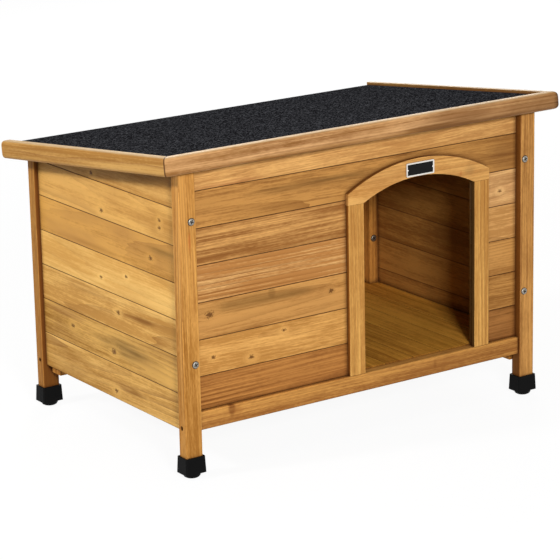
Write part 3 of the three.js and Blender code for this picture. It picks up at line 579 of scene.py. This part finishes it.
# The arch's right shoulder has a patch of duller wood and a short streak of resin, and painted
# shade darkens the faces that look up and to the left
shoulder = middle("door_arch") + Vector((0.105, 0, -0.004))
dress("door_arch", stained_fir(
    "stained_fir_arch", "X", "#E8B064", "#BE8442", middle("door_arch") + Vector((0, 0.04, -0.04)),
    71.4, rings=0.25, blush="#B07C48", lean=(0, 0.02, 0), side_stain_and_shade=(((-0.5, 0, 0.87), "#74430F"),),
    marks=((shoulder + Vector((0.008, 0, -0.002)), 0.020, 0.016, "#A57C48", 0.85),
           (shoulder + Vector((-0.012, 0, -0.008)), 0.005, 0.012, "#B4592C", 0.7))))

# Corner battens, floor, cleats and roof deck. Thin brown stain on sawn fir: less is seen of
# them, so they had one coat only, and the floor has the grain from front to back.
corners = ("front_left", "front_right", "rear_left", "rear_right")
floor_board = 0.062
for corner, seed in zip(corners, (76.9, 77.7, 78.8, 79.9)):
    node = f"batten_{corner}"
    finish_node(node, stained_fir(
        f"stained_fir_{node}", "Z", "#DB9A48", "#9C6226",
        middle(node) + Vector((0.03, 0.04, 0)), seed, gloss=0.6))
finish_node("floor", stained_fir(
    "stained_fir_floor", "Y", "#DC9C3C", "#A0661E", middle("floor") + Vector((0.02, 0, -0.05)),
    82.5, rings=0.4, blush="#AC7822", boards=(0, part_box("floor")[1].x, floor_board)))
cleat_finish = stained_fir("stained_fir_cleats", "X", "#B8843F", "#855A28",
                           middle("floor_cleat_front"), 88.1, gloss=0.62)
for node in ("floor_cleat_front", "floor_cleat_rear", "roof_deck"):
    finish_node(node, cleat_finish)
finish_node("roof_batten", stained_fir("stained_fir_roof_batten", "Y", "#B8843F", "#855A28",
                                       middle("roof_batten"), 90.7, lean=(-0.12, 0, 0),
                                       gloss=0.62))

# Roof trims. Rounded fir bars nailed round the deck and mitred at the front corners, planed
# and stained, with a painted highlight on the faces that look up along the top edge.
roof_pitch = math.radians(7)
down_roof = Vector((0, math.cos(roof_pitch), -math.sin(roof_pitch)))
trim_foot = 0.0117  # from the front trim's underside to the most forward line of its face
trim_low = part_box("roof_trim_front")[0]
side_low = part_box("roof_trim_left")[0]
mitres = []
for side in (-1, 1):
    corner = Vector((side * -side_low.x, trim_low.y, trim_low.z + trim_foot))
    mitres.append((corner, (Vector((-side, 0, 0)) - down_roof).normalized()))
trim_finishes = {
    # grain, pale, deep, seed, marks. The front trim has a dark line low on its face, painted shade
    # along its lower edge, a streak, painted shade over its right half and a nearly black painted
    # shade at its right end
    "roof_trim_front": ("X", "#DCAA74", "#8E6032", 93.4, (
        (Vector((-0.05, trim_low.y, trim_low.z + 0.0115)), 0.30, 0.0016, "#74461C", 0.75),
        # Painted shade along the lower edge
        (Vector((-0.10, trim_low.y, trim_low.z + 0.0040)), 0.42, 0.0080, "#946428", 0.8),
        (Vector((0.25, trim_low.y, trim_low.z + 0.0200)), 0.12, 0.0030, "#8E5C34", 0.6),
        # Painted shade over the right half
        (Vector((0.42, trim_low.y, trim_low.z + 0.0160)), 0.36, 0.0700, "#78502A", 0.95),
        # Nearly black painted shade at the right end
        (Vector((0.426, trim_low.y, trim_low.z + 0.0160)), 0.014, 0.0500, "#2E1A08", 1.0))),
    "roof_trim_left": ("Y", "#CE9E56", "#A57434", 97.8, ()),
    "roof_trim_right": ("Y", "#B88A48", "#835B2A", 99.9, ()),
}
for node, (grain, pale, deep, seed, stains_and_shade) in trim_finishes.items():
    dress(node, stained_fir(
        f"stained_fir_{node}", grain, pale, deep, middle(node) + Vector((0.12, 0.15, -0.05)),
        seed, rings=0.5, ring_width=0.004, bands=0.8, streaks=0.8, hairs=0.5, top_highlight=0.5,
        seams=mitres, marks=stains_and_shade, wander=0.004, lean=(-roof_pitch, 0, 0)), "roof")

# Roof felt. Bitumen felt with fine mineral grit, laid on the deck and folded over its rear
# edge: nearly black, dead matt, with pale grains here and there.
felt_finish, tree = new_material("bitumen_felt_mineral_grit")
place = add(tree, "ShaderNodeTexCoord").outputs["Object"]
# The grit is about 1 mm; it is drawn at 2.4 mm so that it still shows at this distance
grit = add(tree, "ShaderNodeTexVoronoi", {"Vector": place, "Scale": 420.0})
grit = add(tree, "ShaderNodeSeparateColor", {0: grit.outputs["Color"]})
grains = add(tree, "ShaderNodeMapRange", {"Value": grit.outputs[0], "From Min": 0.6,
                                          "From Max": 1.0})
cloudy = add(tree, "ShaderNodeTexNoise", {"Vector": place, "Scale": 12.0, "Detail": 2.0})
base = blend_in(tree, linear("#141416"), cloudy.outputs["Fac"], "#1F1F22")
speck = blend_in(tree, base, grains.outputs[0], "#56575B")
bump = add(tree, "ShaderNodeBump", {"Height": grit.outputs[0], "Strength": 0.5,
                                    "Distance": 0.0004})
felt = add(tree, "ShaderNodeBsdfPrincipled", {
    "Base Color": speck, "Roughness": 1.0, "Normal": bump.outputs[0],
    "Specular IOR Level": 0.0})
add(tree, "ShaderNodeOutputMaterial", {"Surface": felt.outputs[0]})
finish_node("roof_felt", felt_finish)

# Feet. Black polypropylene caps moulded with a fine grain, pressed on the posts, and pads of
# the same on steel stems that turn out to level the house.
foot_finish, tree = new_material("moulded_black_polypropylene")
place = add(tree, "ShaderNodeTexCoord").outputs["Object"]
grain = add(tree, "ShaderNodeTexNoise", {"Vector": place, "Scale": 900.0, "Detail": 2.0})
bump = add(tree, "ShaderNodeBump", {"Height": grain.outputs["Fac"], "Strength": 0.25,
                                    "Distance": 0.0002})
dust = add(tree, "ShaderNodeTexNoise", {"Vector": place, "Scale": 60.0, "Detail": 3.0})
black = blend_in(tree, linear("#030303"), dust.outputs["Fac"], "#080808")
plastic = add(tree, "ShaderNodeBsdfPrincipled", {
    "Base Color": black, "Roughness": 0.62, "Normal": bump.outputs[0],
    "Specular IOR Level": 0.08})
add(tree, "ShaderNodeOutputMaterial", {"Surface": plastic.outputs[0]})
for corner in corners:
    dress(f"foot_cap_{corner}", foot_finish, sharp=50)
    dress(f"foot_pad_{corner}", foot_finish, f"pad_{corner}", sharp=50)

# Hinges and stay. Pressed steel leaves, arm and slotted plate with bright zinc plating. The
# hinges carry the roof along its rear edge, and the stay holds it open.
zinc_finish, tree = new_material("bright_zinc_plated_steel")
place = add(tree, "ShaderNodeTexCoord").outputs["Object"]
spangle = add(tree, "ShaderNodeTexNoise", {"Vector": place, "Scale": 300.0, "Detail": 2.0})
tone = blend_in(tree, linear("#A9ACB0"), spangle.outputs["Fac"], "#D2D4D6")
dull = add(tree, "ShaderNodeMapRange", {"Value": spangle.outputs["Fac"], "To Min": 0.24,
                                        "To Max": 0.42})
zinc = add(tree, "ShaderNodeBsdfPrincipled", {
    "Base Color": tone, "Metallic": 1.0, "Roughness": dull.outputs[0]})
add(tree, "ShaderNodeOutputMaterial", {"Surface": zinc.outputs[0]})
for side in ("left", "right"):
    dress(f"hinge_{side}_wall_leaf", zinc_finish)
    dress(f"hinge_{side}_roof_leaf", zinc_finish, "roof")
dress("stay_bracket", zinc_finish)
dress("stay_arm", zinc_finish, "stay")
dress("stay_track", zinc_finish, "roof")

# Post screws. Cross-recess pan heads, zinc plated, 12 mm across: they hold the battens and the
# rails to the posts, two in the front or the rear of each. The plating has dulled to grey, and
# the recess and a thin ring round the head are painted dark as shade.
screw_finish, tree = new_material("dulled_zinc_plated_screw")
place = add(tree, "ShaderNodeTexCoord").outputs["Object"]
spots = add(tree, "ShaderNodeTexNoise", {"Vector": place, "Scale": 700.0, "Detail": 2.0})
tone = blend_in(tree, linear("#77736C"), spots.outputs["Fac"], "#B5B1A8")
dull = add(tree, "ShaderNodeMapRange", {"Value": spots.outputs["Fac"], "To Min": 0.34,
                                        "To Max": 0.55})
screw = add(tree, "ShaderNodeBsdfPrincipled", {
    "Base Color": tone, "Metallic": 1.0, "Roughness": dull.outputs[0]})
add(tree, "ShaderNodeOutputMaterial", {"Surface": screw.outputs[0]})
# Painted shade for the recess and round the head: a dark, dull finish
recess_shade_finish, tree = new_material("painted_shade_in_recess")
place = add(tree, "ShaderNodeTexCoord").outputs["Object"]
shade_mottle = add(tree, "ShaderNodeTexNoise", {"Vector": place, "Scale": 900.0})
tone = blend_in(tree, linear("#17130F"), shade_mottle.outputs["Fac"], "#3A332B")
recess_shade = add(tree, "ShaderNodeBsdfPrincipled", {
    "Base Color": tone, "Metallic": 0.2, "Roughness": 0.7})
add(tree, "ShaderNodeOutputMaterial", {"Surface": recess_shade.outputs[0]})
head_radius = 0.0060
head_height = 0.0020
head_rounding = 0.7  # the share of a head's height that is rounded off
shade_ring_width = 0.0009  # how far the ring of painted shade shows round a head
shade_ring_height = 0.00015
recess_half_width = 0.0010
recess_reach = 0.0038
recess_depth = 0.0013
head_sides = 20


def add_screw(shape, place, outward, turned, radius=head_radius, height=head_height):
    """Adds a pan head with a cross recess to a bmesh, its flat side at place."""
    head = bmesh.new()
    bmesh.ops.create_cone(head, cap_ends=True, segments=head_sides, radius1=radius,
                          radius2=radius, depth=height)
    rim = [e for e in head.edges if all(v.co.z > 0 for v in e.verts) and e.is_manifold]
    bmesh.ops.bevel(head, geom=rim, offset=head_rounding * height, offset_type="OFFSET",
                    segments=3, profile=0.5, affect="EDGES", material=-1)
    size = radius / head_radius
    for axis in (Vector((1, 0, 0)), Vector((0, 1, 0))):
        for sign in (-1, 1):
            for edge in (recess_half_width, recess_reach):
                bmesh.ops.bisect_plane(head, geom=head.verts[:] + head.edges[:] + head.faces[:],
                                       dist=1e-7, plane_co=axis * sign * edge * size,
                                       plane_no=axis)
    cross = []
    for face in head.faces:
        at = face.calc_center_median()
        far, near = sorted((abs(at.x), abs(at.y)), reverse=True)
        if face.normal.z > 0.9 and near < recess_half_width * size and far < recess_reach * size:
            cross.append(face)
    sunk = bmesh.ops.extrude_face_region(head, geom=cross)["geom"]
    bmesh.ops.delete(head, geom=cross, context="FACES")
    floor = [g for g in sunk if isinstance(g, bmesh.types.BMVert)]
    bmesh.ops.translate(head, vec=(0, 0, -recess_depth * size), verts=floor)
    # The recess takes the painted shade
    for face in {face for vert in floor for face in vert.link_faces}:
        face.material_index = 1
    ring = bmesh.ops.create_cone(head, cap_ends=True, segments=head_sides, depth=shade_ring_height,
                                 radius1=radius + shade_ring_width, radius2=radius + shade_ring_width)
    bmesh.ops.translate(head, vec=(0, 0, (shade_ring_height - height) / 2), verts=ring["verts"])
    # A thin dark disc under the head's edge is painted shade where it meets the wood
    for face in {face for vert in ring["verts"] for face in vert.link_faces}:
        face.material_index = 1
    bmesh.ops.transform(head, verts=head.verts,
                        matrix=Matrix.Translation(place)
                        @ Vector(outward).to_track_quat("Z", "Y").to_matrix().to_4x4()
                        @ Matrix.Rotation(turned, 4, "Z")
                        @ Matrix.Translation((0, 0, height / 2)))
    mesh = bpy.data.meshes.new("screw")
    head.to_mesh(mesh)
    head.free()
    shape.from_mesh(mesh)
    bpy.data.meshes.remove(mesh)


def link_screws(name, shape, body="house"):
    """Makes one piece of all the screws in a bmesh."""
    for face in shape.faces:
        face.smooth = True
    piece = link_piece(name, shape, screw_finish, recess_shade_finish)
    piece.data.set_sharp_from_angle(angle=math.radians(40))
    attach(piece, body)


screw_inset = 0.0235  # from the outer side of the post
screw_levels = (0.204, 0.456)
rear_screw_drop = 0.03  # the rear posts end lower under the roof, and so do their screws
shape = bmesh.new()
for corner in corners:
    low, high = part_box(f"post_{corner}")
    outward = 1 if corner.startswith("rear") else -1
    x = low.x + screw_inset if corner.endswith("left") else high.x - screw_inset
    y = low.y if outward < 0 else high.y
    for z in screw_levels:
        if outward > 0:
            z -= rear_screw_drop
        # No two heads stopped at the same angle
        add_screw(shape, (x, y, z), (0, outward, 0), 0.6 + 9 * z + x)
link_screws("post_screws", shape)

# Batten screws. The same screws, two to a batten, driven from inside the house through the
# batten into what stands behind it.
batten_screw_levels = (0.21, 0.42)
shape = bmesh.new()
for corner in corners:
    low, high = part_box(f"batten_{corner}")
    inward = -1 if corner.startswith("rear") else 1
    face = low.y if inward < 0 else high.y
    for z in batten_screw_levels:
        add_screw(shape, ((low.x + high.x) / 2, face, z), (0, inward, 0), 4 * z)
link_screws("batten_screws", shape)

# Hinge and stay screws. The same heads, smaller and lower, two through each hinge leaf and two
# through the stay's bracket.
small_head = 0.0031
small_height = 0.0008
leaf_end_inset = 0.011
leaf_edge_inset = 0.006
bracket_inset = 0.008
leaf_thickness = 0.0014
bracket_thickness = 0.0025
under_roof = Vector((0, -math.sin(roof_pitch), -math.cos(roof_pitch)))
shape = bmesh.new()
for side in ("left", "right"):
    low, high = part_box(f"hinge_{side}_wall_leaf")
    for x in (low.x + leaf_end_inset, high.x - leaf_end_inset):
        place = (x, low.y + leaf_thickness, low.z + leaf_edge_inset)
        add_screw(shape, place, (0, 1, 0), 90 * x, small_head, small_height)
low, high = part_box("stay_bracket")
for y in (low.y + bracket_inset, high.y - bracket_inset):
    place = (low.x + bracket_thickness, y, low.z + bracket_inset)
    add_screw(shape, place, (1, 0, 0), 60 * y, small_head, small_height)
link_screws("hinge_wall_screws", shape)
shape = bmesh.new()
for side in ("left", "right"):
    low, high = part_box(f"hinge_{side}_roof_leaf")
    faces = [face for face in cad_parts[f"hinge_{side}_roof_leaf"].data.polygons
             if face.normal.dot(under_roof) > 0.99]
    plate = max(faces, key=lambda face: face.area)
    for x in (low.x + leaf_end_inset, high.x - leaf_end_inset):
        place = Vector((x, high.y - leaf_edge_inset, 0))
        place.z = plate.center.z - (place.y - plate.center.y) * math.tan(roof_pitch)
        add_screw(shape, place, under_roof, 70 * x, small_head, small_height)
link_screws("hinge_roof_screws", shape, "roof")

# Felt nails. Galvanised clout nails with round flat heads, every 90 mm or so, hold the felt
# where it is turned down over the rear edge of the deck.
nail_head = 0.0042
nail_thickness = 0.0006
nail_top = 0.7 * nail_head
nail_spacing = 0.0885
nails_each_side = 4
nail_rise = 0.006  # above the lower edge of the felt
low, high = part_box("roof_felt")
shape = bmesh.new()
for step in range(-nails_each_side, nails_each_side + 1):
    nail = bmesh.ops.create_cone(shape, cap_ends=True, segments=16, radius1=nail_head,
                                 radius2=nail_top, depth=nail_thickness)
    place = Vector((step * nail_spacing, high.y, low.z + nail_rise))
    bmesh.ops.transform(shape, verts=nail["verts"], matrix=Matrix.Translation(place)
                        @ down_roof.to_track_quat("Z", "Y").to_matrix().to_4x4())
piece = link_piece("felt_nails", shape, zinc_finish)
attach(piece, "roof")

# Name plate. A small plate pressed from aluminium sheet, with a bare bright border round black
# stoved enamel, pinned to the arch at both ends.
plate_corner = 0.002
plate_border = 0.0024
plate_step = 0.0003
pin_radius = 0.0012
pin_inset = 0.0034
low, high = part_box("name_plate")
silver_finish, tree = new_material("bare_satin_aluminium")
place = add(tree, "ShaderNodeTexCoord").outputs["Object"]
drawn = add(tree, "ShaderNodeMapping", {"Vector": place, "Scale": (60.0, 1.0, 1500.0)})
brushed = add(tree, "ShaderNodeTexNoise", {"Vector": drawn.outputs[0], "Scale": 1.0})
tone = blend_in(tree, linear("#D9D4CC"), brushed.outputs["Fac"], "#F2EFEA")
dull = add(tree, "ShaderNodeMapRange", {"Value": brushed.outputs["Fac"], "To Min": 0.35,
                                        "To Max": 0.55})
silver = add(tree, "ShaderNodeBsdfPrincipled", {
    "Base Color": tone, "Metallic": 0.6, "Roughness": dull.outputs[0]})
add(tree, "ShaderNodeOutputMaterial", {"Surface": silver.outputs[0]})
enamel_finish, tree = new_material("stoved_black_enamel")
place = add(tree, "ShaderNodeTexCoord").outputs["Object"]
peel = add(tree, "ShaderNodeTexNoise", {"Vector": place, "Scale": 700.0})
tone = blend_in(tree, linear("#070707"), peel.outputs["Fac"], "#101011")
bump = add(tree, "ShaderNodeBump", {"Height": peel.outputs["Fac"], "Strength": 0.1,
                                    "Distance": 0.0001})
enamel = add(tree, "ShaderNodeBsdfPrincipled", {
    "Base Color": tone, "Roughness": 0.55, "Normal": bump.outputs[0],
    "Specular IOR Level": 0.12})
add(tree, "ShaderNodeOutputMaterial", {"Surface": enamel.outputs[0]})
shape = bmesh.new()
bmesh.ops.create_cube(shape, size=1.0)
bmesh.ops.scale(shape, vec=high - low, verts=shape.verts)
bmesh.ops.translate(shape, vec=(low + high) / 2, verts=shape.verts)
upright = [e for e in shape.edges if abs(e.verts[0].co.y - e.verts[1].co.y) > 1e-4]
bmesh.ops.bevel(shape, geom=upright, offset=plate_corner, offset_type="OFFSET", segments=4,
                profile=0.5, affect="EDGES", material=-1)
front = [f for f in shape.faces if f.normal.y < -0.9]
bmesh.ops.inset_region(shape, faces=front, thickness=plate_border)
bmesh.ops.inset_region(shape, faces=front, thickness=plate_step, depth=-plate_step)
for face in front:
    face.material_index = 1
for x in (low.x + pin_inset, high.x - pin_inset):
    pin = bmesh.ops.create_uvsphere(shape, u_segments=12, v_segments=6, radius=pin_radius)
    bmesh.ops.scale(shape, vec=(1, 0.5, 1), verts=pin["verts"])
    bmesh.ops.translate(shape, vec=(x, low.y + plate_step, (low.z + high.z) / 2),
                        verts=pin["verts"])
plate = link_piece("name_plate_pressed", shape, silver_finish, enamel_finish)
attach(plate, "house")
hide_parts("name_plate")
